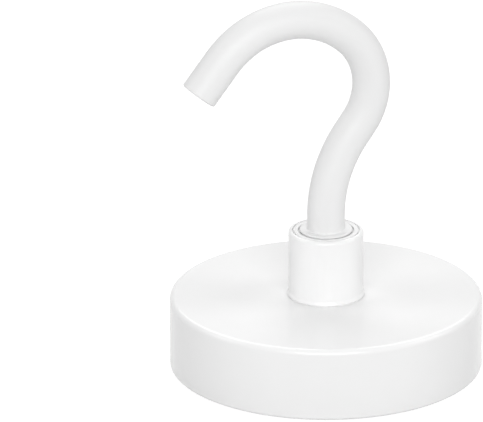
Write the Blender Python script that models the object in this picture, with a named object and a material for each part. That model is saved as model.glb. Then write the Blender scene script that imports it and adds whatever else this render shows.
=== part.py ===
"""Magnetic hook: a steel pot with a disc magnet, a riveted bushing and a bent wire hook.

The part stands on the pot's rim, at z = 0, with the bushing's axis along +Z. The hook lies in
the XZ plane and opens towards -X. All lengths are in metres.
"""

import math

import bmesh
import bpy
from mathutils import Matrix, Vector

# Magnet disc
MAGNET_DIA = 0.0245
MAGNET_THICKNESS = 0.0040
MAGNET_EDGE_BREAK = 0.0003
MAGNET_RECESS = 0.00025

# Glue behind and beside the magnet
GLUE_BED = 0.0003
GLUE_WALL = 0.0002
GLUE_SETBACK = 0.0011
GLUE_SIDE_CLEARANCE = 0.0001

# Pot round the magnet: 32 mm wide and 7.5 mm high with these walls
POT_WALL = 0.00335
POT_FLOOR = 0.00235
POT_TOP_ROUND = 0.00055
POT_RIM_ROUND = 0.00025
POCKET_MOUTH_BREAK = 0.00015
POCKET_CORNER_BREAK = 0.00015

# Hook's threaded shank, and the coat bead that closes the bushing's mouth round the wire
THREAD_DIA = 0.0035
THREAD_END_BREAK = 0.0005
BEAD_WIDTH = 0.000675
BEAD_THICKNESS = 0.00025
BEAD_SINK = 0.00005
BEAD_FILLET_HEIGHT = 0.00045

# Bushing: 7.7 mm wide with this wall
BUSHING_HEIGHT = 0.0070
BUSHING_WALL = 0.00095
BUSHING_ROUND = 0.00045
MOUTH_BREAK = 0.00008
BORE_PAST_THREAD = 0.0010
SPIGOT_WALL = 0.0006
FLARE_WIDTH = 0.0007
FLARE_LAND = 0.00015

# Hook's wire, from the bushing's mouth to the tip
WIRE_DIA = 0.00385
NECK_LENGTH = 0.0017
LEAN_BEND_RADIUS = 0.01425
LEAN_BEND_ANGLE = math.radians(36.0)
LEAN_LENGTH = 0.0014
BACK_BEND_RADIUS = 0.0070
BACK_BEND_ANGLE = math.radians(82.5)
TOP_BEND_RADIUS = 0.0094
TOP_BEND_ANGLE = math.radians(95.0)
TAIL_LENGTH = 0.0042
TIP_BREAK = 0.00012

# Clearance between a piece and the one that it seats on or passes through
FIT_GAP = 0.0003

# Sizes that follow from the ones above
MAGNET_RADIUS = MAGNET_DIA / 2
MAGNET_BACK_Z = MAGNET_RECESS + MAGNET_THICKNESS
GLUE_BED_Z = MAGNET_BACK_Z + FIT_GAP
GLUE_BACK_Z = GLUE_BED_Z + GLUE_BED
GLUE_END_Z = MAGNET_RECESS + GLUE_SETBACK

POCKET_RADIUS = MAGNET_RADIUS + GLUE_WALL + 2 * GLUE_SIDE_CLEARANCE
POCKET_FLOOR_Z = GLUE_BACK_Z + FIT_GAP
POT_RADIUS = POCKET_RADIUS + POT_WALL
POT_HEIGHT = POCKET_FLOOR_Z + POT_FLOOR

WIRE_RADIUS = WIRE_DIA / 2
THREAD_RADIUS = THREAD_DIA / 2
BEAD_RADIUS = WIRE_RADIUS + BEAD_WIDTH
BUSHING_FOOT_Z = POT_HEIGHT + FIT_GAP
BUSHING_TOP_Z = POT_HEIGHT + BUSHING_HEIGHT
BEAD_TOP_Z = BUSHING_TOP_Z - BEAD_SINK
BEAD_FOOT_Z = BEAD_TOP_Z - BEAD_THICKNESS
MOUTH_FLOOR_Z = BEAD_FOOT_Z - FIT_GAP
MOUTH_RADIUS = BEAD_RADIUS + FIT_GAP
BUSHING_RADIUS = MOUTH_RADIUS + BUSHING_WALL

BORE_RADIUS = THREAD_RADIUS + FIT_GAP
SPIGOT_RADIUS = BORE_RADIUS + SPIGOT_WALL
SPIGOT_HOLE_RADIUS = SPIGOT_RADIUS + FIT_GAP
SPIGOT_END_Z = POCKET_FLOOR_Z
FLARE_RADIUS = SPIGOT_RADIUS + FLARE_WIDTH
FLARE_TOP_Z = SPIGOT_END_Z + FLARE_LAND + FLARE_WIDTH
THREAD_END_Z = SPIGOT_END_Z + BORE_PAST_THREAD
# The pot's countersink runs beside the flare's 45 degree cone, one clearance away.
COUNTERSINK_TOP_Z = FLARE_TOP_Z + FIT_GAP * math.sqrt(2) - FIT_GAP
COUNTERSINK_RADIUS = SPIGOT_HOLE_RADIUS + COUNTERSINK_TOP_Z - POCKET_FLOOR_Z

# Facets
POT_SIDES = 80
BUSHING_SIDES = 48
WIRE_SIDES = 28
ROUND_STEPS = 4
BEND_STEP = math.radians(5.0)
SHARP_ANGLE = math.radians(32.0)

# Which way an outer edge faces, and the axis about which the wire turns towards -X
UPPER = 1
LOWER = -1
LEFT_TURN_AXIS = Vector((0.0, -1.0, 0.0))


def clear_scene():
    """Remove every object that the scene holds."""
    for item in list(bpy.data.objects):
        bpy.data.objects.remove(item, do_unlink=True)


def surface(name, colour, roughness, metallic):
    """Make a material with one Principled BSDF."""
    material = bpy.data.materials.new(name)
    material.use_nodes = True
    shader = material.node_tree.nodes["Principled BSDF"]
    shader.inputs["Base Color"].default_value = (*colour, 1.0)
    shader.inputs["Roughness"].default_value = roughness
    shader.inputs["Metallic"].default_value = metallic
    return material


def arc(centre, reach, start, end):
    """Points of an arc as (radius, height) pairs, with its own reach along each of the two."""
    points = []
    for step in range(ROUND_STEPS + 1):
        angle = start + (end - start) * step / ROUND_STEPS
        points.append((centre[0] + reach[0] * math.cos(angle), centre[1] + reach[1] * math.sin(angle)))
    return points


def edge_round(radius, height, size, side):
    """The rounding of an outer edge, listed from the lower to the upper end."""
    centre = (radius - size, height - side * size)
    start, end = sorted((0.0, side * math.pi / 2))
    return arc(centre, (size, size), start, end)


def spin_profile(bm, profile, closed, sides):
    """Turn a profile of (radius, height) pairs once round the Z axis."""
    verts = [bm.verts.new((radius, 0.0, height)) for radius, height in profile]
    edges = [bm.edges.new(pair) for pair in zip(verts, verts[1:])]
    if closed:
        edges.append(bm.edges.new((verts[-1], verts[0])))
    bmesh.ops.spin(bm, geom=verts + edges, cent=(0, 0, 0), axis=(0, 0, 1), dvec=(0, 0, 0),
                   angle=math.tau, steps=sides, use_merge=True)
    on_axis = [vert for vert in bm.verts if vert.co.xy.length < FIT_GAP / sides]
    bmesh.ops.remove_doubles(bm, verts=on_axis, dist=FIT_GAP / sides)


def finish(bm, name, material):
    """Turn a closed bmesh into a named object of one material."""
    bmesh.ops.recalc_face_normals(bm, faces=bm.faces)
    mesh = bpy.data.meshes.new(name)
    bm.to_mesh(mesh)
    bm.free()
    mesh.shade_smooth()
    mesh.set_sharp_from_angle(angle=SHARP_ANGLE)
    mesh.materials.append(material)
    piece = bpy.data.objects.new(name, mesh)
    bpy.context.collection.objects.link(piece)
    return piece


def steel_pot(material):
    """The pot: pocket below, rounded top edge, and a countersunk hole for the bushing's spigot."""
    profile = edge_round(POT_RADIUS, 0.0, POT_RIM_ROUND, LOWER)
    profile += edge_round(POT_RADIUS, POT_HEIGHT, POT_TOP_ROUND, UPPER)
    profile += [
        (SPIGOT_HOLE_RADIUS, POT_HEIGHT),
        (SPIGOT_HOLE_RADIUS, COUNTERSINK_TOP_Z),
        (COUNTERSINK_RADIUS, POCKET_FLOOR_Z),
        (POCKET_RADIUS - POCKET_CORNER_BREAK, POCKET_FLOOR_Z),
        (POCKET_RADIUS, POCKET_FLOOR_Z - POCKET_CORNER_BREAK),
        (POCKET_RADIUS, POCKET_MOUTH_BREAK),
        (POCKET_RADIUS + POCKET_MOUTH_BREAK, 0.0),
    ]
    bm = bmesh.new()
    spin_profile(bm, profile, True, POT_SIDES)
    return finish(bm, "steel_pot", material)


def magnet_disc(material):
    """The magnet: a plain disc with its edges broken."""
    profile = [
        (0.0, MAGNET_RECESS),
        (MAGNET_RADIUS - MAGNET_EDGE_BREAK, MAGNET_RECESS),
        (MAGNET_RADIUS, MAGNET_RECESS + MAGNET_EDGE_BREAK),
        (MAGNET_RADIUS, MAGNET_BACK_Z - MAGNET_EDGE_BREAK),
        (MAGNET_RADIUS - MAGNET_EDGE_BREAK, MAGNET_BACK_Z),
        (0.0, MAGNET_BACK_Z),
    ]
    bm = bmesh.new()
    spin_profile(bm, profile, False, POT_SIDES)
    return finish(bm, "magnet_disc", material)


def glue_bed(material):
    """The glue: a bed behind the magnet, and a wall that has risen in the gap beside it."""
    inner = MAGNET_RADIUS + GLUE_SIDE_CLEARANCE
    outer = inner + GLUE_WALL
    corner = POCKET_CORNER_BREAK + GLUE_SIDE_CLEARANCE
    profile = [
        (0.0, GLUE_BACK_Z),
        (outer - corner, GLUE_BACK_Z),
        (outer, GLUE_BACK_Z - corner),
        (outer, GLUE_END_Z),
        (inner, GLUE_END_Z),
        (inner, GLUE_BED_Z),
        (0.0, GLUE_BED_Z),
    ]
    bm = bmesh.new()
    spin_profile(bm, profile, False, POT_SIDES)
    return finish(bm, "glue_bed", material)


def threaded_bushing(material):
    """The bushing: rounded boss, recessed mouth, bore, and a spigot flared inside the pot's floor."""
    profile = [
        (BORE_RADIUS, SPIGOT_END_Z),
        (FLARE_RADIUS, SPIGOT_END_Z),
        (FLARE_RADIUS, SPIGOT_END_Z + FLARE_LAND),
        (SPIGOT_RADIUS, FLARE_TOP_Z),
        (SPIGOT_RADIUS, BUSHING_FOOT_Z),
    ]
    profile += edge_round(BUSHING_RADIUS, BUSHING_FOOT_Z, BUSHING_ROUND, LOWER)
    profile += edge_round(BUSHING_RADIUS, BUSHING_TOP_Z, BUSHING_ROUND, UPPER)
    profile += [
        (MOUTH_RADIUS + MOUTH_BREAK, BUSHING_TOP_Z),
        (MOUTH_RADIUS, BUSHING_TOP_Z - MOUTH_BREAK),
        (MOUTH_RADIUS, MOUTH_FLOOR_Z),
        (BORE_RADIUS, MOUTH_FLOOR_Z),
    ]
    bm = bmesh.new()
    spin_profile(bm, profile, True, BUSHING_SIDES)
    return finish(bm, "threaded_bushing", material)


def shank_profile():
    """The hook's turned part: thread, coat bead and the fillet up to the wire."""
    fillet_centre = (BEAD_RADIUS, BEAD_TOP_Z + BEAD_FILLET_HEIGHT)
    fillet = arc(fillet_centre, (BEAD_WIDTH, BEAD_FILLET_HEIGHT), -math.pi / 2, -math.pi)
    return [
        (0.0, THREAD_END_Z),
        (THREAD_RADIUS - THREAD_END_BREAK, THREAD_END_Z),
        (THREAD_RADIUS, THREAD_END_Z + THREAD_END_BREAK),
        (THREAD_RADIUS, BEAD_FOOT_Z),
        (BEAD_RADIUS, BEAD_FOOT_Z),
        *fillet,
    ]


class WireEnd:
    """The open end of a wire that is drawn straight and bent in the XZ plane."""

    def __init__(self, bm, point, heading):
        self.bm = bm
        self.point = Vector(point)
        self.heading = Vector(heading)
        self.edges = [edge for edge in bm.edges if edge.is_boundary]

    def draw(self, length, radius_scale=1.0):
        """Go straight on, and change the wire's thickness if radius_scale isn't 1."""
        grown = bmesh.ops.extrude_edge_only(self.bm, edges=self.edges)["geom"]
        ring = {item for item in grown if isinstance(item, bmesh.types.BMVert)}
        step = self.heading * length
        for vert in ring:
            vert.co = self.point + (vert.co - self.point) * radius_scale + step
        self.edges = [
            item for item in grown
            if isinstance(item, bmesh.types.BMEdge) and set(item.verts) <= ring
        ]
        self.point += step

    def bend(self, radius, angle):
        """Turn round a bend: a positive angle turns towards -X from the way up."""
        side = math.copysign(1.0, angle)
        inward = Matrix.Rotation(side * math.pi / 2, 3, LEFT_TURN_AXIS) @ self.heading
        centre = self.point + inward * radius
        turned = bmesh.ops.spin(self.bm, geom=self.edges, cent=centre, axis=LEFT_TURN_AXIS, dvec=(0, 0, 0),
                                angle=angle, steps=max(1, round(abs(angle) / BEND_STEP)), use_merge=False)
        self.edges = [item for item in turned["geom_last"] if isinstance(item, bmesh.types.BMEdge)]
        turn = Matrix.Rotation(angle, 3, LEFT_TURN_AXIS)
        self.point = centre + turn @ (self.point - centre)
        self.heading = turn @ self.heading

    def close(self):
        """Close the wire's end with a flat cut."""
        bmesh.ops.edgeloop_fill(self.bm, edges=self.edges)


def wire_hook(material):
    """The hook: a turned shank, then one wire that leans away, comes back over the top and ends in a tip."""
    bm = bmesh.new()
    spin_profile(bm, shank_profile(), False, WIRE_SIDES)
    neck_foot_z = BEAD_TOP_Z + BEAD_FILLET_HEIGHT
    wire = WireEnd(bm, (0.0, 0.0, neck_foot_z), (0.0, 0.0, 1.0))
    wire.draw(BUSHING_TOP_Z + NECK_LENGTH - neck_foot_z)
    wire.bend(LEAN_BEND_RADIUS, -LEAN_BEND_ANGLE)
    wire.draw(LEAN_LENGTH)
    wire.bend(BACK_BEND_RADIUS, BACK_BEND_ANGLE)
    wire.bend(TOP_BEND_RADIUS, TOP_BEND_ANGLE)
    wire.draw(TAIL_LENGTH - TIP_BREAK)
    wire.draw(TIP_BREAK, 1 - TIP_BREAK / WIRE_RADIUS)
    wire.close()
    return finish(bm, "wire_hook", material)


def build():
    """Make the whole magnetic hook, and hang its wire on an empty on the axis that it turns about."""
    clear_scene()
    white_coat = surface("white_coat", (0.86, 0.86, 0.86), 0.28, 0.0)
    hook_coat = surface("hook_coat", (0.84, 0.84, 0.84), 0.32, 0.0)
    nickel = surface("nickel_plate", (0.62, 0.61, 0.60), 0.35, 1.0)
    glue = surface("black_glue", (0.02, 0.02, 0.02), 0.40, 0.0)

    steel_pot(white_coat)
    magnet_disc(nickel)
    glue_bed(glue)
    threaded_bushing(white_coat)
    hook = wire_hook(hook_coat)

    turn_axis = bpy.data.objects.new("hook_turn_axis", None)
    turn_axis.location.z = BUSHING_TOP_Z
    turn_axis.empty_display_size = BUSHING_RADIUS
    bpy.context.collection.objects.link(turn_axis)
    hook.parent = turn_axis
    hook.location.z = -BUSHING_TOP_Z


build()
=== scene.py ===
"""Magnetic hook: a white powder-coated pot magnet with a riveted bushing and a bent wire hook.

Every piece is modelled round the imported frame, in metres, with +Z up and the pot's rim at z = 0.
The hook lies in the XZ plane and opens towards -X.
"""

import math
from collections import namedtuple

import bmesh
import bpy
from bpy.props import FloatProperty, FloatVectorProperty, IntProperty, PointerProperty
from mathutils import Matrix, Vector


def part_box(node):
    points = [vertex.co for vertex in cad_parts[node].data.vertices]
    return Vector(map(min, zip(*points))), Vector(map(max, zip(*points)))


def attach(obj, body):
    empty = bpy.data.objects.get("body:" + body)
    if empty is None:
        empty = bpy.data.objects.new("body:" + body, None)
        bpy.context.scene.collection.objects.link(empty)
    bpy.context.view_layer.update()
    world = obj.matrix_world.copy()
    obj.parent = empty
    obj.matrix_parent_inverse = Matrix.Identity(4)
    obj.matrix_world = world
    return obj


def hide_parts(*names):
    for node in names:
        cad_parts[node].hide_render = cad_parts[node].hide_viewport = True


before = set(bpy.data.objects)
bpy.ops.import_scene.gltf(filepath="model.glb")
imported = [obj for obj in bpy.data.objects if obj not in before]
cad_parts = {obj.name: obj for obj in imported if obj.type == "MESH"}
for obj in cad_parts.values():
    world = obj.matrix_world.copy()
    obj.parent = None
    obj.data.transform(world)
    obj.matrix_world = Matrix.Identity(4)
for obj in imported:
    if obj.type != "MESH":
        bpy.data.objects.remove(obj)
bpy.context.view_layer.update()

bl_info = {
    "name": "Magnetic Hook",
    "version": (1, 0, 0),
    "blender": (4, 5, 0),
    "location": "3D View > Sidebar > Magnetic Hook",
    "description": "Models a coated pot magnet with a bushing and a wire hook, and a white studio round it",
    "category": "Add Mesh",
}

# What the frame holds
POT_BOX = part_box("steel_pot")
MAGNET_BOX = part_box("magnet_disc")
GLUE_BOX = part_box("glue_bed")
BUSHING_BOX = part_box("threaded_bushing")
HOOK_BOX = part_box("wire_hook")

# Fineness of the meshes: roundings up to the fine one get fewer steps
POT_SIDES = 256
BUSHING_SIDES = 160
WIRE_SIDES = 72
ROUND_STEPS = 10
FINE_STEPS = 4
FINE_ROUND = 0.0001
DOME_STEPS = 3
BEND_STEP = math.radians(1.5)
SHARP_ANGLE = math.radians(35.0)
WELD = 0.000001

# A flat longer than this is split this far from its ends, to shade flat
LONG_FLAT = 0.00016
SHADING_MARGIN = 0.00004

# Where most of a noise's values lie, how rough it is, and how many finer layers each finish gets
NOISE_LOW = 0.3
NOISE_HIGH = 0.7
NOISE_ROUGHNESS = 0.5
COAT_TONE_DETAIL = 3.0
POWDER_DETAIL = 2.0
PEEL_DETAIL = 1.0
NICKEL_TONE_DETAIL = 4.0
NICKEL_GRAIN_DETAIL = 3.0
GLUE_WAVE_DETAIL = 2.0

# Shares of a colour that its darkest tone keeps, and shares by which a roughness swings
COAT_DARK_SHARE = 0.985
NICKEL_DARK_SHARE = 0.96
GLUE_DARK_SHARE = 0.6
COAT_SWING_SHARE = 0.1
NICKEL_SWING_SHARE = 0.1
GLUE_SWING_SHARE = 0.3

# Shares of the thread's pitch that are flat, and rings in one pitch
CREST_SHARE = 0.125
ROOT_SHARE = 0.25
RINGS_PER_PITCH = 14

UP = Vector((0.0, 0.0, 1.0))
LEFT_TURN_AXIS = Vector((0.0, -1.0, 0.0))

WHITE = (1.0, 1.0, 1.0, 1.0)
CLIP_FACTOR = 10

# Softboxes: sizes in metres, and places round the object, in degrees and metres
Softbox = namedtuple("Softbox", "width height azimuth elevation distance")
FRONT_BOX = Softbox(width=0.40, height=0.25, azimuth=-20.0, elevation=27.0, distance=0.50)
LEFT_BOX = Softbox(width=0.25, height=0.30, azimuth=-110.0, elevation=35.0, distance=0.50)
RIGHT_BOX = Softbox(width=0.25, height=0.30, azimuth=70.0, elevation=35.0, distance=0.50)
REAR_BOX = Softbox(width=0.40, height=0.30, azimuth=160.0, elevation=48.0, distance=0.50)


class PotSizes(bpy.types.PropertyGroup):
    """Sizes of the pot, the magnet in it and the glue between them."""

    radius: FloatProperty(
        name="Radius", description="From the axis to the pot's side", default=POT_BOX[1].x, unit="LENGTH")
    height: FloatProperty(
        name="Height", description="From the rim to the pot's top", default=POT_BOX[1].z, unit="LENGTH")
    top_round: FloatProperty(
        name="Top round", description="Rounding of the top edge", default=0.00055, unit="LENGTH")
    rim_round: FloatProperty(
        name="Rim round", description="Rounding of the rim's outer edge", default=0.00025, unit="LENGTH")
    pocket_radius: FloatProperty(
        name="Pocket radius", description="Inside of the pot's wall", default=0.01265, unit="LENGTH")
    pocket_depth: FloatProperty(
        name="Pocket depth", description="From the rim to the pot's floor",
        default=BUSHING_BOX[0].z, unit="LENGTH")
    mouth_break: FloatProperty(
        name="Mouth break", description="Broken edge at the pocket's mouth", default=0.00015, unit="LENGTH")
    spigot_hole: FloatProperty(
        name="Spigot hole", description="Radius of the hole for the bushing",
        default=0.00295, unit="LENGTH")
    countersink: FloatProperty(
        name="Countersink", description="Depth of the cone round the flare", default=0.00095, unit="LENGTH")
    magnet_round: FloatProperty(
        name="Magnet round", description="Rounding of the magnet's edges", default=0.0003, unit="LENGTH")
    glue_wall: FloatProperty(
        name="Glue wall", description="Thickness of the glue beside the magnet",
        default=0.0002, unit="LENGTH")
    glue_bed: FloatProperty(
        name="Glue bed", description="Thickness of the glue behind the magnet",
        default=0.0003, unit="LENGTH")
    glue_sag: FloatProperty(
        name="Glue sag", description="How far the glue's free surface dips", default=0.00012, unit="LENGTH")


class BushingSizes(bpy.types.PropertyGroup):
    """Sizes of the bushing that is riveted into the pot."""

    radius: FloatProperty(
        name="Radius", description="From the axis to the bushing's side",
        default=BUSHING_BOX[1].x, unit="LENGTH")
    round: FloatProperty(
        name="Round", description="Rounding of the bushing's top edge", default=0.00036, unit="LENGTH")
    line_radius: FloatProperty(
        name="Line radius", description="Radius of the fine line turned in the top",
        default=0.00338, unit="LENGTH")
    line_width: FloatProperty(
        name="Line width", description="Width of the fine line", default=0.00015, unit="LENGTH")
    line_depth: FloatProperty(
        name="Line depth", description="Depth of the fine line", default=0.0002, unit="LENGTH")
    line_round: FloatProperty(
        name="Line round", description="Rounding of the fine line's edges", default=0.00002, unit="LENGTH")
    foot_rise: FloatProperty(
        name="Foot rise", description="Height of the foot under its lip", default=0.00015, unit="LENGTH")
    foot_inset: FloatProperty(
        name="Foot inset", description="How far the foot is drawn in under its lip", default=0.00002,
        unit="LENGTH")
    lip_width: FloatProperty(
        name="Lip width", description="How far the foot's lip stands out", default=0.00016, unit="LENGTH")
    lip_slope: FloatProperty(
        name="Lip slope", description="Height of the lip's sloping upper side",
        default=0.00036, unit="LENGTH")
    lip_round: FloatProperty(
        name="Lip round", description="Rounding of the lip's edge", default=0.00011, unit="LENGTH")
    foot_fillet: FloatProperty(
        name="Foot fillet", description="Coat that fills the corner under the foot", default=0.00006,
        unit="LENGTH")
    mouth_radius: FloatProperty(
        name="Mouth radius", description="Radius of the recess at the top", default=0.00286, unit="LENGTH")
    mouth_depth: FloatProperty(
        name="Mouth depth", description="Depth of the recess at the top", default=0.00022, unit="LENGTH")
    mouth_round: FloatProperty(
        name="Mouth round", description="Rounding of the recess's edge", default=0.00006, unit="LENGTH")
    bore_radius: FloatProperty(
        name="Bore radius", description="Radius of the bore that the shank runs in",
        default=0.00205, unit="LENGTH")
    spigot_radius: FloatProperty(
        name="Spigot radius", description="Radius of the spigot in the pot's floor",
        default=0.00265, unit="LENGTH")
    flare_radius: FloatProperty(
        name="Flare radius", description="Radius of the riveted end", default=0.00335, unit="LENGTH")
    flare_land: FloatProperty(
        name="Flare land", description="Height of the riveted end's upright edge",
        default=0.00006, unit="LENGTH")
    flare_height: FloatProperty(
        name="Flare height", description="Height of the riveted end", default=0.00085, unit="LENGTH")
    coat_sink: FloatProperty(
        name="Coat sink", description="How far the foot sits in the pot's coat",
        default=0.00002, unit="LENGTH")


class WireSizes(bpy.types.PropertyGroup):
    """Sizes of the wire, its bends, and the threaded shank below them."""

    radius: FloatProperty(
        name="Radius", description="Half of the coated wire's thickness", default=0.001925, unit="LENGTH")
    neck_length: FloatProperty(
        name="Neck", description="Straight wire above the bushing", default=0.0017, unit="LENGTH")
    lean_radius: FloatProperty(
        name="Lean radius", description="Radius of the first bend, away from the opening",
        default=0.01425, unit="LENGTH")
    lean_angle: FloatProperty(
        name="Lean angle", description="Turn of the first bend",
        default=math.radians(36.0), unit="ROTATION")
    lean_length: FloatProperty(
        name="Lean length", description="Straight wire after the first bend", default=0.0014, unit="LENGTH")
    back_radius: FloatProperty(
        name="Back radius", description="Radius of the bend at the back", default=0.0070, unit="LENGTH")
    back_angle: FloatProperty(
        name="Back angle", description="Turn of the bend at the back",
        default=math.radians(82.5), unit="ROTATION")
    top_radius: FloatProperty(
        name="Top radius", description="Radius of the bend over the top", default=0.0094, unit="LENGTH")
    top_angle: FloatProperty(
        name="Top angle", description="Turn of the bend over the top",
        default=math.radians(95.0), unit="ROTATION")
    tail_length: FloatProperty(
        name="Tail", description="Straight wire before the tip", default=0.0042, unit="LENGTH")
    tip_round: FloatProperty(
        name="Tip round", description="Rounding of the coat at the cut tip", default=0.00018, unit="LENGTH")
    tip_dome: FloatProperty(
        name="Tip dome", description="How far the coat bulges on the cut tip",
        default=0.00005, unit="LENGTH")
    bead_radius: FloatProperty(
        name="Bead radius", description="Radius of the coat bead in the bushing's mouth",
        default=0.0027, unit="LENGTH")
    bead_thickness: FloatProperty(
        name="Bead thickness", description="Thickness of the coat bead", default=0.00026, unit="LENGTH")
    bead_rise: FloatProperty(
        name="Bead rise", description="How far the bead stands above the bushing's top",
        default=0.00015, unit="LENGTH")
    bead_fillet: FloatProperty(
        name="Bead fillet", description="Height of the coat's sweep up to the wire",
        default=0.00016, unit="LENGTH")
    bead_round: FloatProperty(
        name="Bead round", description="Rounding of the bead's edge", default=0.00012, unit="LENGTH")
    shank_radius: FloatProperty(
        name="Shank radius", description="Radius of the plain shank that the thread is rolled on",
        default=0.00175, unit="LENGTH")
    thread_radius: FloatProperty(
        name="Thread radius", description="Radius at the thread's crest", default=0.00195, unit="LENGTH")
    thread_depth: FloatProperty(
        name="Thread depth", description="From the thread's crest to its root",
        default=0.0004, unit="LENGTH")
    thread_pitch: FloatProperty(
        name="Thread pitch", description="Rise of the thread in one turn", default=0.0007, unit="LENGTH")
    thread_relief: FloatProperty(
        name="Thread relief", description="Plain shank under the bead", default=0.0006, unit="LENGTH")


class Finishes(bpy.types.PropertyGroup):
    """Colours and grain of the coat, the plating and the glue."""

    coat_colour: FloatVectorProperty(
        name="Coat", description="Powder coat of the pot and the bushing",
        default=(0.86, 0.86, 0.86), min=0.0, max=1.0, subtype="COLOR")
    hook_colour: FloatVectorProperty(
        name="Hook coat", description="Powder coat of the wire",
        default=(0.80, 0.80, 0.80), min=0.0, max=1.0, subtype="COLOR")
    nickel_colour: FloatVectorProperty(
        name="Nickel", description="Plating of the magnet",
        default=(0.66, 0.65, 0.63), min=0.0, max=1.0, subtype="COLOR")
    glue_colour: FloatVectorProperty(
        name="Glue", description="Cured glue in the pocket",
        default=(0.012, 0.012, 0.013), min=0.0, max=1.0, subtype="COLOR")
    coat_roughness: FloatProperty(
        name="Coat roughness", description="Roughness of the coat on the pot and the bushing",
        default=0.22, min=0.0, max=1.0)
    coat_shine: FloatProperty(
        name="Coat shine", description="How strongly that coat mirrors, where 0.5 is usual for a paint",
        default=0.5, min=0.0, max=1.0)
    hook_roughness: FloatProperty(
        name="Hook roughness", description="Roughness of the coat on the wire",
        default=0.45, min=0.0, max=1.0)
    hook_shine: FloatProperty(
        name="Hook shine", description="How strongly the wire's coat mirrors",
        default=0.35, min=0.0, max=1.0)
    coat_tone_size: FloatProperty(
        name="Coat tone", description="Width of the coat's faint changes of tone",
        default=0.006, unit="LENGTH")
    peel_size: FloatProperty(
        name="Orange peel", description="Width of the coat's soft waves", default=0.0011, unit="LENGTH")
    peel_depth: FloatProperty(
        name="Peel depth", description="Depth of the coat's soft waves", default=0.0000012, unit="LENGTH")
    powder_size: FloatProperty(
        name="Powder grain", description="Width of the coat's fine grain", default=0.00012, unit="LENGTH")
    powder_depth: FloatProperty(
        name="Powder depth", description="Depth of the coat's fine grain",
        default=0.00000006, unit="LENGTH")
    nickel_roughness: FloatProperty(
        name="Nickel roughness", description="Roughness of the plating", default=0.34, min=0.0, max=1.0)
    nickel_tone_size: FloatProperty(
        name="Nickel tone", description="Width of the plating's changes of tone",
        default=0.004, unit="LENGTH")
    nickel_grain_size: FloatProperty(
        name="Nickel grain", description="Width of the plating's grain", default=0.00006, unit="LENGTH")
    nickel_grain_depth: FloatProperty(
        name="Nickel grain depth", description="Depth of the plating's grain",
        default=0.0000002, unit="LENGTH")
    glue_roughness: FloatProperty(
        name="Glue roughness", description="Roughness of the glue", default=0.31, min=0.0, max=1.0)
    glue_wave_size: FloatProperty(
        name="Glue waves", description="Width of the waves in the glue", default=0.0008, unit="LENGTH")
    glue_wave_depth: FloatProperty(
        name="Glue wave depth", description="Depth of the waves in the glue",
        default=0.00001, unit="LENGTH")


class StudioSettings(bpy.types.PropertyGroup):
    """Camera, floor and soft lamps."""

    lens: FloatProperty(
        name="Lens", description="Focal length", default=512.0, min=1.0, max=1000.0, unit="CAMERA")
    azimuth: FloatProperty(
        name="Azimuth", description="Camera's turn about the object", default=math.radians(-20.0),
        unit="ROTATION")
    elevation: FloatProperty(
        name="Elevation", description="Camera's height above the horizon", default=math.radians(20.51),
        unit="ROTATION")
    roll: FloatProperty(
        name="Roll", description="Camera's turn about its own axis",
        default=math.radians(0.2), unit="ROTATION")
    distance: FloatProperty(
        name="Distance", description="From the camera to what it looks at", default=0.70, unit="LENGTH")
    aim: FloatVectorProperty(
        name="Aim", description="The point that the camera looks at", default=(-0.00809, 0.00295, 0.01654),
        subtype="TRANSLATION", unit="LENGTH")
    floor_radius: FloatProperty(
        name="Floor", description="Radius of the round floor", default=2.5, unit="LENGTH")
    floor_sides: IntProperty(name="Floor sides", description="Sides of the round floor", default=96)
    floor_gap: FloatProperty(
        name="Floor gap", description="How far the floor lies under the rim",
        default=0.00005, unit="LENGTH")
    floor_tone: FloatProperty(
        name="Floor tone", description="How much light the floor throws back on the object", default=0.60)
    floor_glow: FloatProperty(
        name="Floor glow", description="Brightness of the floor where it is seen", default=0.75)
    floor_shade: FloatProperty(
        name="Floor shade", description="How much of the floor's seen tone is light that falls on it",
        default=0.40)
    room_light: FloatProperty(
        name="Room light", description="Brightness of the white room on the object, where 1 is white",
        default=0.30)
    front_light: FloatProperty(
        name="Front light", description="Brightness of the softbox in front", default=5.2)
    left_light: FloatProperty(
        name="Left light", description="Brightness of the softbox on the left", default=1.8)
    right_light: FloatProperty(
        name="Right light", description="Brightness of the softbox on the right", default=2.4)
    rear_light: FloatProperty(
        name="Rear light", description="Brightness of the softbox behind", default=2.6)


class MagneticHookSettings(bpy.types.PropertyGroup):
    """All that can be set for the magnetic hook and its studio."""

    pot: PointerProperty(type=PotSizes)
    bushing: PointerProperty(type=BushingSizes)
    wire: PointerProperty(type=WireSizes)
    finish: PointerProperty(type=Finishes)
    studio: PointerProperty(type=StudioSettings)


# Modelling

def draw_outline(bm, corners, closed):
    """Draw (radius, height, rounding) corners as a line in the XZ plane, and round them."""
    verts = [bm.verts.new((radius, 0.0, height)) for radius, height, rounding in corners]
    for pair in zip(verts, verts[1:]):
        bm.edges.new(pair)
    if closed:
        bm.edges.new((verts[-1], verts[0]))
    for vert, (radius, height, rounding) in zip(verts, corners):
        if rounding:
            steps = ROUND_STEPS if rounding > FINE_ROUND else FINE_STEPS
            bmesh.ops.bevel(bm, geom=[vert], offset=rounding, offset_type="OFFSET", segments=steps,
                            profile=0.5, affect="VERTICES", material=-1)


def keep_flats_flat(bm):
    """Split each long edge of an outline close to its ends, so that its flat shades flat."""
    for edge in list(bm.edges):
        if edge.calc_length() > LONG_FLAT:
            for vert in tuple(edge.verts):
                bmesh.utils.edge_split(edge, vert, SHADING_MARGIN / edge.calc_length())


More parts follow.
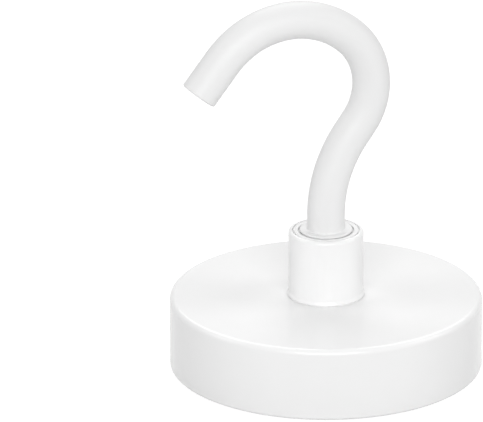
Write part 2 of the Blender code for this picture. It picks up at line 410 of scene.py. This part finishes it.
def spin_outline(bm, sides):
    """Turn the outline once round the Z axis, and close it on the axis."""
    bmesh.ops.spin(bm, geom=bm.verts[:] + bm.edges[:], cent=(0, 0, 0), axis=UP, dvec=(0, 0, 0),
                   angle=math.tau, steps=sides, use_merge=True)
    on_axis = [vert for vert in bm.verts if vert.co.xy.length < WELD]
    bmesh.ops.remove_doubles(bm, verts=on_axis, dist=WELD)


def finish_piece(bm, name, material, body, slot, *nodes):
    """Make a piece of the mesh, and hand it to the frame in place of the nodes."""
    bmesh.ops.recalc_face_normals(bm, faces=bm.faces)
    mesh = bpy.data.meshes.new(name)
    bm.to_mesh(mesh)
    bm.free()
    mesh.shade_smooth()
    mesh.set_sharp_from_angle(angle=SHARP_ANGLE)
    mesh.materials.append(material)
    piece = bpy.data.objects.new(name, mesh)
    bpy.context.scene.collection.objects.link(piece)
    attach(piece, body)
    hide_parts(*nodes)


# Materials

def new_material(name):
    """A material with its Principled shader, as (material, node tree, shader)."""
    material = bpy.data.materials.new(name)
    material.use_nodes = True
    tree = material.node_tree
    return material, tree, tree.nodes["Principled BSDF"]


def object_noise(tree, width, detail):
    """Noise of a real width, in metres, on the piece's own coordinates."""
    place = tree.nodes.new("ShaderNodeTexCoord")
    noise = tree.nodes.new("ShaderNodeTexNoise")
    noise.inputs["Scale"].default_value = 1.0 / width
    noise.inputs["Detail"].default_value = detail
    noise.inputs["Roughness"].default_value = NOISE_ROUGHNESS
    tree.links.new(place.outputs["Object"], noise.inputs["Vector"])
    return noise.outputs["Fac"]


def spread(tree, value, low, high):
    """Map a noise value to run from low to high."""
    node = tree.nodes.new("ShaderNodeMapRange")
    node.inputs["From Min"].default_value = NOISE_LOW
    node.inputs["From Max"].default_value = NOISE_HIGH
    node.inputs["To Min"].default_value = low
    node.inputs["To Max"].default_value = high
    tree.links.new(value, node.inputs["Value"])
    return node.outputs["Result"]


def shade_between(tree, value, colour, dark_share):
    """Mix a colour with a darker tone of itself by a noise value."""
    mix = tree.nodes.new("ShaderNodeMix")
    mix.data_type = "RGBA"
    mix.inputs["A"].default_value = (*[part * dark_share for part in colour], 1.0)
    mix.inputs["B"].default_value = (*colour, 1.0)
    tree.links.new(spread(tree, value, 0.0, 1.0), mix.inputs["Factor"])
    return mix.outputs["Result"]


def swing_roughness(tree, value, roughness, share, shader):
    """Let the shader's roughness swing by a share of itself with a noise value."""
    swung = spread(tree, value, roughness * (1.0 - share), roughness * (1.0 + share))
    tree.links.new(swung, shader.inputs["Roughness"])


def bump(tree, height, depth, below=None):
    """Bump of a real depth, on top of another bump if there is one."""
    node = tree.nodes.new("ShaderNodeBump")
    node.inputs["Distance"].default_value = depth
    tree.links.new(height, node.inputs["Height"])
    if below:
        tree.links.new(below, node.inputs["Normal"])
    return node.outputs["Normal"]


def powder_coat(name, colour, roughness, shine, finish):
    """White powder coat: soft orange peel with a fine grain in it."""
    material, tree, shader = new_material(name)
    tone = object_noise(tree, finish.coat_tone_size, COAT_TONE_DETAIL)
    grain = object_noise(tree, finish.powder_size, POWDER_DETAIL)
    peel = object_noise(tree, finish.peel_size, PEEL_DETAIL)
    tree.links.new(shade_between(tree, tone, colour, COAT_DARK_SHARE), shader.inputs["Base Color"])
    swing_roughness(tree, grain, roughness, COAT_SWING_SHARE, shader)
    shader.inputs["Specular IOR Level"].default_value = shine
    waves = bump(tree, peel, finish.peel_depth)
    tree.links.new(bump(tree, grain, finish.powder_depth, waves), shader.inputs["Normal"])
    return material


def satin_nickel(name, colour, finish):
    """Satin nickel plating with a fine, even grain."""
    material, tree, shader = new_material(name)
    tone = object_noise(tree, finish.nickel_tone_size, NICKEL_TONE_DETAIL)
    grain = object_noise(tree, finish.nickel_grain_size, NICKEL_GRAIN_DETAIL)
    tree.links.new(shade_between(tree, tone, colour, NICKEL_DARK_SHARE), shader.inputs["Base Color"])
    swing_roughness(tree, grain, finish.nickel_roughness, NICKEL_SWING_SHARE, shader)
    tree.links.new(bump(tree, grain, finish.nickel_grain_depth), shader.inputs["Normal"])
    shader.inputs["Metallic"].default_value = 1.0
    return material


def cured_glue(name, colour, finish):
    """Dark cured glue with a slightly wavy gloss."""
    material, tree, shader = new_material(name)
    wave = object_noise(tree, finish.glue_wave_size, GLUE_WAVE_DETAIL)
    tree.links.new(shade_between(tree, wave, colour, GLUE_DARK_SHARE), shader.inputs["Base Color"])
    swing_roughness(tree, wave, finish.glue_roughness, GLUE_SWING_SHARE, shader)
    tree.links.new(bump(tree, wave, finish.glue_wave_depth), shader.inputs["Normal"])
    return material


def shared_material(name, make, *settings):
    """The material of that name, made once."""
    return bpy.data.materials.get(name) or make(name, *settings)


# Pieces

class MAGNETICHOOK_OT_pot(bpy.types.Operator):
    """Model the coated steel pot"""

    bl_idname = "magnetic_hook.pot"
    bl_label = "Pot"

    def execute(self, context):
        settings = context.scene.magnetic_hook
        finish = settings.finish
        pot = settings.pot
        pocket_floor = pot.pocket_depth
        corners = [
            (pot.radius, 0.0, pot.rim_round),
            (pot.radius, pot.height, pot.top_round),
            (pot.spigot_hole, pot.height, 0.0),
            (pot.spigot_hole, pocket_floor + pot.countersink, 0.0),
            (pot.spigot_hole + pot.countersink, pocket_floor, 0.0),
            (pot.pocket_radius, pocket_floor, pot.mouth_break),
            (pot.pocket_radius, 0.0, pot.mouth_break),
        ]
        bm = bmesh.new()
        draw_outline(bm, corners, True)
        keep_flats_flat(bm)
        spin_outline(bm, POT_SIDES)
        coat = shared_material("white_powder_coat", powder_coat, finish.coat_colour,
                               finish.coat_roughness, finish.coat_shine, finish)
        finish_piece(bm, "pot", coat, "base", "white_coat", "steel_pot")
        return {"FINISHED"}


class MAGNETICHOOK_OT_magnet(bpy.types.Operator):
    """Model the nickel-plated magnet"""

    bl_idname = "magnetic_hook.magnet"
    bl_label = "Magnet"

    def execute(self, context):
        settings = context.scene.magnetic_hook
        finish = settings.finish
        low, high = MAGNET_BOX
        rounding = settings.pot.magnet_round
        corners = [
            (0.0, low.z, 0.0),
            (high.x, low.z, rounding),
            (high.x, high.z, rounding),
            (0.0, high.z, 0.0),
        ]
        bm = bmesh.new()
        draw_outline(bm, corners, False)
        keep_flats_flat(bm)
        spin_outline(bm, POT_SIDES)
        plating = shared_material("satin_nickel", satin_nickel, finish.nickel_colour, finish)
        finish_piece(bm, "magnet", plating, "base", "nickel_plate", "magnet_disc")
        return {"FINISHED"}


class MAGNETICHOOK_OT_glue(bpy.types.Operator):
    """Model the glue behind and beside the magnet"""

    bl_idname = "magnetic_hook.glue"
    bl_label = "Glue"

    def execute(self, context):
        settings = context.scene.magnetic_hook
        finish = settings.finish
        pot = settings.pot
        low, high = GLUE_BOX
        inner = high.x - pot.glue_wall
        corners = [
            (0.0, high.z, 0.0),
            (high.x, high.z, pot.mouth_break),
            (high.x, low.z, 0.0),
            (high.x - pot.glue_wall / 2, low.z + pot.glue_sag, 0.0),
            (inner, low.z, 0.0),
            (inner, high.z - pot.glue_bed, 0.0),
            (0.0, high.z - pot.glue_bed, 0.0),
        ]
        bm = bmesh.new()
        draw_outline(bm, corners, False)
        spin_outline(bm, POT_SIDES)
        glue = shared_material("cured_glue", cured_glue, finish.glue_colour, finish)
        finish_piece(bm, "glue", glue, "base", "black_glue", "glue_bed")
        return {"FINISHED"}


class MAGNETICHOOK_OT_bushing(bpy.types.Operator):
    """Model the coated bushing, with its recessed mouth and its riveted end"""

    bl_idname = "magnetic_hook.bushing"
    bl_label = "Bushing"

    def execute(self, context):
        settings = context.scene.magnetic_hook
        finish = settings.finish
        bushing = settings.bushing
        low, high = BUSHING_BOX
        foot = settings.pot.height - bushing.coat_sink
        waist = bushing.radius - bushing.foot_inset
        corners = [
            (bushing.bore_radius, low.z, 0.0),
            (bushing.flare_radius, low.z, 0.0),
            (bushing.flare_radius, low.z + bushing.flare_land, 0.0),
            (bushing.spigot_radius, low.z + bushing.flare_height, 0.0),
            (bushing.spigot_radius, foot, 0.0),
            (waist + bushing.foot_fillet, foot, 0.0),
            (waist, foot + bushing.foot_fillet, bushing.foot_fillet / 2),
            (bushing.radius + bushing.lip_width, foot + bushing.foot_rise, bushing.lip_round),
            (bushing.radius, foot + bushing.foot_rise + bushing.lip_slope, bushing.lip_round),
            (bushing.radius, high.z, bushing.round),
            (bushing.line_radius + bushing.line_width / 2, high.z, bushing.line_round),
            (bushing.line_radius + bushing.line_width / 2, high.z - bushing.line_depth, 0.0),
            (bushing.line_radius - bushing.line_width / 2, high.z - bushing.line_depth, 0.0),
            (bushing.line_radius - bushing.line_width / 2, high.z, bushing.line_round),
            (bushing.mouth_radius, high.z, bushing.mouth_round),
            (bushing.mouth_radius, high.z - bushing.mouth_depth, 0.0),
            (bushing.bore_radius, high.z - bushing.mouth_depth, 0.0),
        ]
        bm = bmesh.new()
        draw_outline(bm, corners, True)
        keep_flats_flat(bm)
        spin_outline(bm, BUSHING_SIDES)
        coat = shared_material("white_powder_coat", powder_coat, finish.coat_colour,
                               finish.coat_roughness, finish.coat_shine, finish)
        finish_piece(bm, "bushing", coat, "base", "white_coat", "threaded_bushing")
        return {"FINISHED"}


class WireEnd:
    """The open end of a wire that is drawn straight and bent in the XZ plane."""

    def __init__(self, bm, point):
        self.bm = bm
        self.point = Vector(point)
        self.heading = UP.copy()
        self.edges = [edge for edge in bm.edges if edge.is_boundary]

    def draw(self, length):
        """Go straight on."""
        grown = bmesh.ops.extrude_edge_only(self.bm, edges=self.edges)["geom"]
        ring = {item for item in grown if isinstance(item, bmesh.types.BMVert)}
        bmesh.ops.translate(self.bm, verts=list(ring), vec=self.heading * length)
        edges = [item for item in grown if isinstance(item, bmesh.types.BMEdge)]
        self.edges = [edge for edge in edges if set(edge.verts) <= ring]
        self.point += self.heading * length

    def bend(self, radius, angle):
        """Turn round a bend: a positive angle turns towards -X from the way up."""
        inward = Matrix.Rotation(math.copysign(math.pi / 2, angle), 3, LEFT_TURN_AXIS) @ self.heading
        centre = self.point + inward * radius
        turned = bmesh.ops.spin(self.bm, geom=self.edges, cent=centre, axis=LEFT_TURN_AXIS, dvec=(0, 0, 0),
                                angle=angle, steps=max(1, round(abs(angle) / BEND_STEP)), use_merge=False)
        self.edges = [item for item in turned["geom_last"] if isinstance(item, bmesh.types.BMEdge)]
        turn = Matrix.Rotation(angle, 3, LEFT_TURN_AXIS)
        self.point = centre + turn @ (self.point - centre)
        self.heading = turn @ self.heading

    def cut(self, rounding, dome):
        """Cut the wire square, round the coat at the edge, and raise it a little over the cut."""
        bmesh.ops.edgeloop_fill(self.bm, edges=self.edges)
        bmesh.ops.bevel(self.bm, geom=self.edges, offset=rounding, offset_type="OFFSET",
                        segments=ROUND_STEPS, profile=0.5, affect="EDGES", material=-1)
        face = max(self.bm.faces, key=lambda item: len(item.verts))
        width = (face.verts[0].co - face.calc_center_median()).length
        for inset in (SHADING_MARGIN, *[width / DOME_STEPS] * (DOME_STEPS - 1)):
            bmesh.ops.inset_region(self.bm, faces=[face], thickness=inset, depth=dome / DOME_STEPS)


def roll_thread(bm, wire, low, high):
    """Roll a right-hand thread on the shank between two heights, fading out at both ends."""
    for vert in bm.verts:
        across = vert.co.xy.length
        if low <= vert.co.z <= high and across > wire.shank_radius - WELD:
            turn = math.atan2(vert.co.y, vert.co.x) / math.tau
            phase = (vert.co.z / wire.thread_pitch - turn) % 1.0
            rise = abs(2.0 * phase - 1.0)
            share = min(1.0, max(0.0, (rise - ROOT_SHARE) / (1.0 - ROOT_SHARE - CREST_SHARE)))
            radius = wire.thread_radius - wire.thread_depth * (1.0 - share)
            fade = min(1.0, (vert.co.z - low) / wire.thread_pitch, (high - vert.co.z) / wire.thread_pitch)
            radius = wire.shank_radius + (radius - wire.shank_radius) * fade
            vert.co.xy *= radius / across


class MAGNETICHOOK_OT_wire(bpy.types.Operator):
    """Model the wire hook, from its threaded shank to its cut tip"""

    bl_idname = "magnetic_hook.wire"
    bl_label = "Wire hook"

    def execute(self, context):
        settings = context.scene.magnetic_hook
        finish = settings.finish
        wire = settings.wire
        low = HOOK_BOX[0]
        bead_top = BUSHING_BOX[1].z + wire.bead_rise
        bead_foot = bead_top - wire.bead_thickness
        neck_top = BUSHING_BOX[1].z + wire.neck_length
        bm = bmesh.new()
        thread_top = bead_foot - wire.thread_relief
        corners = [
            (0.0, low.z, 0.0),
            (wire.shank_radius, low.z, 0.0),
            (wire.shank_radius, thread_top, 0.0),
            (wire.shank_radius, bead_foot, 0.0),
            (wire.bead_radius, bead_foot, wire.bead_round),
            (wire.bead_radius, bead_top, wire.bead_round),
            (wire.radius, bead_top, wire.bead_fillet),
            (wire.radius, neck_top, 0.0),
        ]
        draw_outline(bm, corners, False)
        shank = max((edge for edge in bm.edges if edge.verts[0].co.x == edge.verts[1].co.x),
                    key=lambda edge: edge.calc_length())
        rings = round(shank.calc_length() / wire.thread_pitch * RINGS_PER_PITCH)
        bmesh.ops.subdivide_edges(bm, edges=[shank], cuts=rings - 1)
        keep_flats_flat(bm)
        spin_outline(bm, WIRE_SIDES)
        roll_thread(bm, wire, low.z, thread_top)
        end = WireEnd(bm, (0.0, 0.0, neck_top))
        end.bend(wire.lean_radius, -wire.lean_angle)
        end.draw(wire.lean_length)
        end.bend(wire.back_radius, wire.back_angle)
        end.bend(wire.top_radius, wire.top_angle)
        end.draw(wire.tail_length)
        end.cut(wire.tip_round, wire.tip_dome)
        coat = shared_material("hook_powder_coat", powder_coat, finish.hook_colour,
                               finish.hook_roughness, finish.hook_shine, finish)
        finish_piece(bm, "hook", coat, "hook", "hook_coat", "wire_hook")
        return {"FINISHED"}


# Studio

def aim_at(item, point):
    """Point a camera or a lamp at a place, with its top up."""
    way = point - item.location
    item.rotation_mode = "QUATERNION"
    item.rotation_quaternion = way.to_track_quat("-Z", "Y")


def round_the_object(azimuth, elevation, distance):
    """A place round the origin: azimuth 0 is in front, at -Y, and positive turns towards +X."""
    across = distance * math.cos(elevation)
    return Vector((across * math.sin(azimuth), -across * math.cos(azimuth), distance * math.sin(elevation)))


def softbox(name, box, brightness):
    """A soft rectangular lamp that faces the object. A brightness of 1 looks white."""
    light = bpy.data.lights.new(name, "AREA")
    light.shape = "RECTANGLE"
    light.size = box.width
    light.size_y = box.height
    light.energy = brightness * math.pi * box.width * box.height
    lamp = bpy.data.objects.new(name, light)
    lamp.location = round_the_object(math.radians(box.azimuth), math.radians(box.elevation), box.distance)
    aim_at(lamp, Vector((0.0, 0.0, 0.0)))
    lamp.visible_camera = False
    bpy.context.scene.collection.objects.link(lamp)


def seen_rays(tree):
    """1 for the rays that show the stage: camera, glossy and transmission rays."""
    path = tree.nodes.new("ShaderNodeLightPath")
    value = path.outputs["Is Camera Ray"]
    for name in ("Is Glossy Ray", "Is Transmission Ray"):
        largest = tree.nodes.new("ShaderNodeMath")
        largest.operation = "MAXIMUM"
        tree.links.new(value, largest.inputs[0])
        tree.links.new(path.outputs[name], largest.inputs[1])
        value = largest.outputs["Value"]
    return value


def mix_shaders(tree, factor, first, second, target):
    """Mix two shaders into a target socket."""
    mix = tree.nodes.new("ShaderNodeMixShader")
    tree.links.new(factor, mix.inputs["Fac"])
    tree.links.new(first, mix.inputs[1])
    tree.links.new(second, mix.inputs[2])
    tree.links.new(mix.outputs["Shader"], target)


def white_room(room_light):
    """A world that looks white and lights the object softly."""
    world = bpy.data.worlds.new("white_room")
    world.use_nodes = True
    tree = world.node_tree
    seen = tree.nodes["Background"]
    seen.inputs["Color"].default_value = WHITE
    seen.inputs["Strength"].default_value = 1.0
    lighting = tree.nodes.new("ShaderNodeBackground")
    lighting.inputs["Color"].default_value = WHITE
    lighting.inputs["Strength"].default_value = room_light
    output = tree.nodes["World Output"].inputs["Surface"]
    mix_shaders(tree, seen_rays(tree), lighting.outputs["Background"], seen.outputs["Background"], output)
    bpy.context.scene.world = world


def floor_material(studio):
    """A pale floor that looks white and keeps a faint shadow."""
    material, tree, shader = new_material("pale_floor")
    tree.nodes.remove(shader)
    diffuse = tree.nodes.new("ShaderNodeBsdfDiffuse")
    diffuse.inputs["Color"].default_value = (*[studio.floor_tone] * 3, 1.0)
    faint = tree.nodes.new("ShaderNodeBsdfDiffuse")
    faint.inputs["Color"].default_value = (*[studio.floor_shade] * 3, 1.0)
    glow = tree.nodes.new("ShaderNodeEmission")
    glow.inputs["Strength"].default_value = studio.floor_glow
    both = tree.nodes.new("ShaderNodeAddShader")
    tree.links.new(faint.outputs["BSDF"], both.inputs[0])
    tree.links.new(glow.outputs["Emission"], both.inputs[1])
    output = tree.nodes["Material Output"].inputs["Surface"]
    mix_shaders(tree, seen_rays(tree), diffuse.outputs["BSDF"], both.outputs["Shader"], output)
    return material


class MAGNETICHOOK_OT_stage(bpy.types.Operator):
    """Set up the white floor, the soft lamps and the camera"""

    bl_idname = "magnetic_hook.stage"
    bl_label = "Studio"

    def execute(self, context):
        studio = context.scene.magnetic_hook.studio
        context.scene.view_settings.view_transform = "Standard"
        bm = bmesh.new()
        bmesh.ops.create_circle(bm, cap_ends=True, radius=studio.floor_radius, segments=studio.floor_sides,
                                matrix=Matrix.Translation((0.0, 0.0, -studio.floor_gap)))
        mesh = bpy.data.meshes.new("floor")
        bm.to_mesh(mesh)
        bm.free()
        mesh.materials.append(floor_material(studio))
        floor = bpy.data.objects.new("floor", mesh)
        context.scene.collection.objects.link(floor)

        white_room(studio.room_light)
        softbox("front_softbox", FRONT_BOX, studio.front_light)
        softbox("left_softbox", LEFT_BOX, studio.left_light)
        softbox("right_softbox", RIGHT_BOX, studio.right_light)
        softbox("rear_softbox", REAR_BOX, studio.rear_light)

        camera_data = bpy.data.cameras.new("camera")
        camera_data.lens = studio.lens
        camera_data.clip_start = studio.distance / CLIP_FACTOR
        camera_data.clip_end = studio.distance * CLIP_FACTOR
        camera = bpy.data.objects.new("camera", camera_data)
        aim = Vector(studio.aim)
        camera.location = aim + round_the_object(studio.azimuth, studio.elevation, studio.distance)
        aim_at(camera, aim)
        camera.rotation_quaternion @= Matrix.Rotation(-studio.roll, 3, "Z").to_quaternion()
        context.scene.collection.objects.link(camera)
        context.scene.camera = camera
        return {"FINISHED"}


# Panel and registration

class MAGNETICHOOK_PT_panel(bpy.types.Panel):
    """Lists the hook's pieces and the studio"""

    bl_idname = "MAGNETICHOOK_PT_panel"
    bl_label = "Magnetic Hook"
    bl_space_type = "VIEW_3D"
    bl_region_type = "UI"
    bl_category = "Magnetic Hook"

    def draw(self, context):
        for operator in STEPS:
            self.layout.operator(operator.bl_idname)


STEPS = (
    MAGNETICHOOK_OT_pot,
    MAGNETICHOOK_OT_magnet,
    MAGNETICHOOK_OT_glue,
    MAGNETICHOOK_OT_bushing,
    MAGNETICHOOK_OT_wire,
    MAGNETICHOOK_OT_stage,
)
CLASSES = (
    PotSizes, BushingSizes, WireSizes, Finishes, StudioSettings, MagneticHookSettings,
    *STEPS, MAGNETICHOOK_PT_panel,
)


def register():
    """Register the settings, the operators and the panel."""
    for item in CLASSES:
        bpy.utils.register_class(item)
    bpy.types.Scene.magnetic_hook = PointerProperty(type=MagneticHookSettings)


def unregister():
    """Take out what register put in."""
    del bpy.types.Scene.magnetic_hook
    for item in reversed(CLASSES):
        bpy.utils.unregister_class(item)


def main():
    """Register the add-on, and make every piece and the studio."""
    register()
    bpy.ops.magnetic_hook.pot()
    bpy.ops.magnetic_hook.magnet()
    bpy.ops.magnetic_hook.glue()
    bpy.ops.magnetic_hook.bushing()
    bpy.ops.magnetic_hook.wire()
    bpy.ops.magnetic_hook.stage()


if __name__ == "__main__":
    main()
